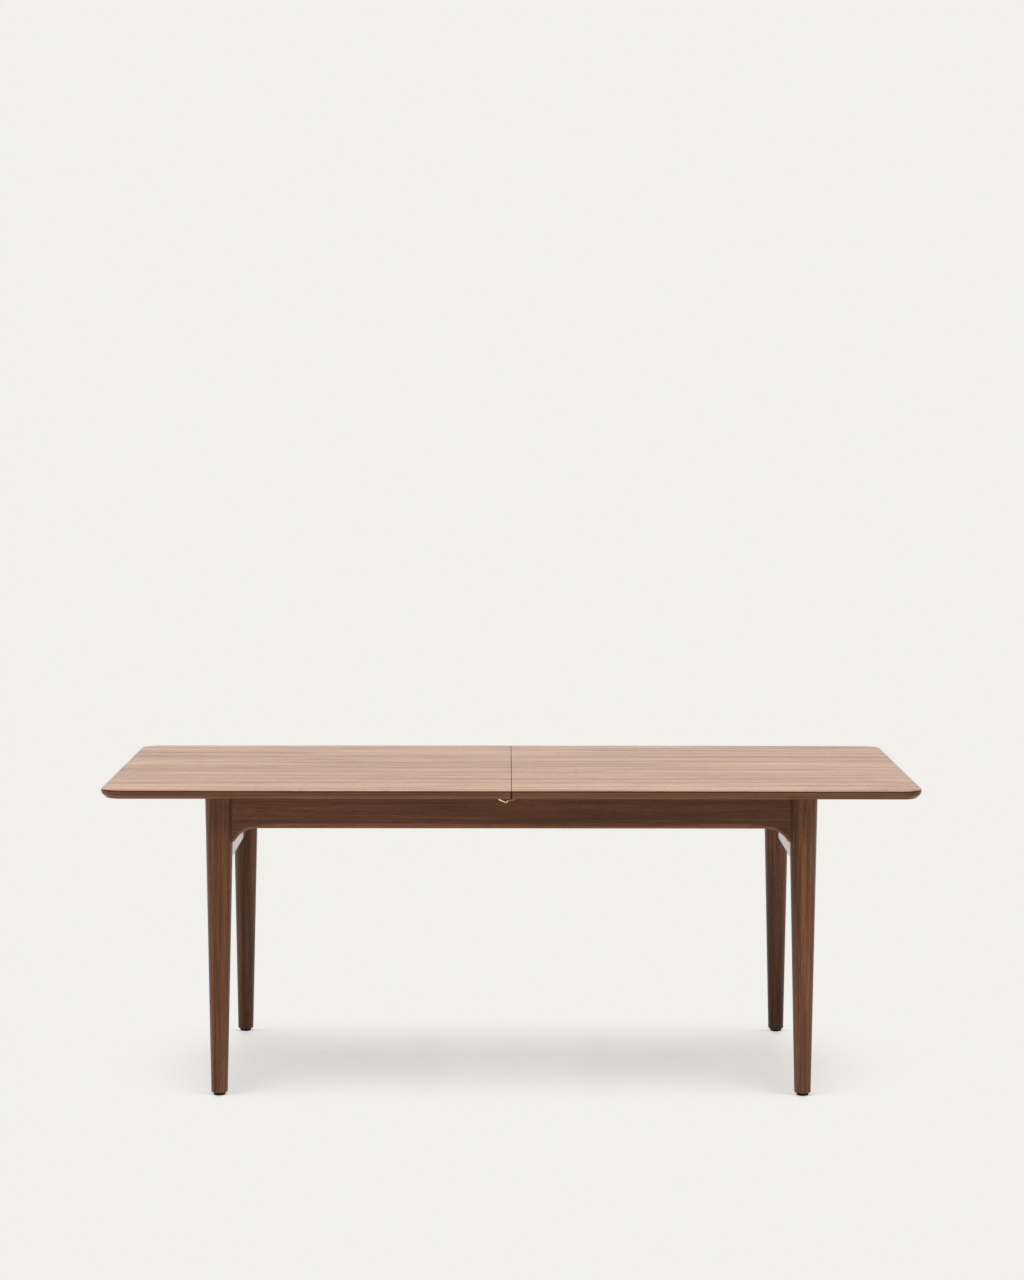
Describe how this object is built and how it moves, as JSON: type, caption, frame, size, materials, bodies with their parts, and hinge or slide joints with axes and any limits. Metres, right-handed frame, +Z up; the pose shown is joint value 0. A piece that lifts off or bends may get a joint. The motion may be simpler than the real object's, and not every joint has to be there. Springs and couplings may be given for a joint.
{
  "type": "extending table",
  "caption": "Dining table on round tapered legs whose top halves slide apart on ball runners for a leaf stored below; brass latch at the seam.",
  "frame": {"origin": "on the floor, under the middle of the closed table", "axes": "+X along the table to the right half, +Y to the rear, +Z up"},
  "size_m": [2, 0.9, 0.76],
  "materials": {
    "walnut_veneer": "satin lacquer over figured veneer",
    "solid_walnut": "satin lacquer on solid wood",
    "inner_hardwood": "planed, unfinished",
    "zinc_steel": "bright zinc plate",
    "brass": "polished",
    "black_plastic": "moulded, matt",
    "glide_tape": "low friction strip"
  },
  "bodies": {
    "frame": {"front_apron": "solid_walnut", "rear_apron": "solid_walnut", "left_end_rail": "solid_walnut", "right_end_rail": "solid_walnut", "leg_front_left": "solid_walnut", "leg_front_right": "solid_walnut", "leg_rear_left": "solid_walnut", "leg_rear_right": "solid_walnut", "foot_glide_front_left": "black_plastic", "foot_glide_front_right": "black_plastic", "foot_glide_rear_left": "black_plastic", "foot_glide_rear_right": "black_plastic", "corner_block_front_left": "inner_hardwood", "corner_block_front_right": "inner_hardwood", "corner_block_rear_left": "inner_hardwood", "corner_block_rear_right": "inner_hardwood", "corner_studs": "zinc_steel", "corner_nuts": "zinc_steel", "left_cross_rail": "inner_hardwood", "right_cross_rail": "inner_hardwood", "front_bearer": "inner_hardwood", "rear_bearer": "inner_hardwood", "glide_strip_front": "glide_tape", "glide_strip_rear": "glide_tape", "leaf_guide_front": "inner_hardwood", "leaf_guide_rear": "inner_hardwood", "runner_channel_left_front": "zinc_steel", "runner_channel_left_rear": "zinc_steel", "runner_channel_right_front": "zinc_steel", "runner_channel_right_rear": "zinc_steel", "channel_screws": "zinc_steel"},
    "left_top": {"left_top_panel": "walnut_veneer", "batten_left_front": "inner_hardwood", "batten_left_rear": "inner_hardwood", "runner_slide_left_front": "zinc_steel", "runner_slide_left_rear": "zinc_steel", "batten_screws_left": "zinc_steel", "slide_screws_left": "zinc_steel", "seam_dowels": "inner_hardwood", "latch_bracket": "brass", "latch_pin": "brass", "latch_screws": "brass"},
    "right_top": {"right_top_panel": "walnut_veneer", "batten_right_front": "inner_hardwood", "batten_right_rear": "inner_hardwood", "runner_slide_right_front": "zinc_steel", "runner_slide_right_rear": "zinc_steel", "batten_screws_right": "zinc_steel", "slide_screws_right": "zinc_steel", "latch_keeper": "brass", "keeper_screws": "brass"},
    "left_cages": {"ball_cages_left": "zinc_steel", "bearing_balls_left": "zinc_steel"},
    "right_cages": {"ball_cages_right": "zinc_steel", "bearing_balls_right": "zinc_steel"},
    "latch_arm": {"latch_hook": "brass"},
    "leaf": {"extension_leaf": "walnut_veneer", "leaf_dowels": "inner_hardwood"}
  },
  "joints": [
    {"name": "left_top_slide", "type": "slide", "parent": "frame", "child": "left_top", "axis": [-1, 0, 0], "range_m": [0, 0.275]},
    {"name": "right_top_slide", "type": "slide", "parent": "frame", "child": "right_top", "axis": [1, 0, 0], "range_m": [0, 0.275]},
    {"name": "left_cage_roll", "type": "slide", "parent": "frame", "child": "left_cages", "axis": [-1, 0, 0], "range_m": [0, 0.1376]},
    {"name": "right_cage_roll", "type": "slide", "parent": "frame", "child": "right_cages", "axis": [1, 0, 0], "range_m": [0, 0.1376]},
    {"name": "latch_swing", "type": "hinge", "parent": "left_top", "child": "latch_arm", "pos_m": [-0.0102, -0.414, 0.7294], "axis": [0, 1, 0], "range_deg": [-5, 70]},
    {"name": "leaf_draw", "type": "slide", "parent": "frame", "child": "leaf", "axis": [1, 0, 0], "range_m": [-0.68, 0.68]}
  ],
  "couplings": [
    {"joint": "left_cage_roll", "follows": "left_top_slide", "ratio": 0.5},
    {"joint": "right_cage_roll", "follows": "right_top_slide", "ratio": 0.5}
  ]
}
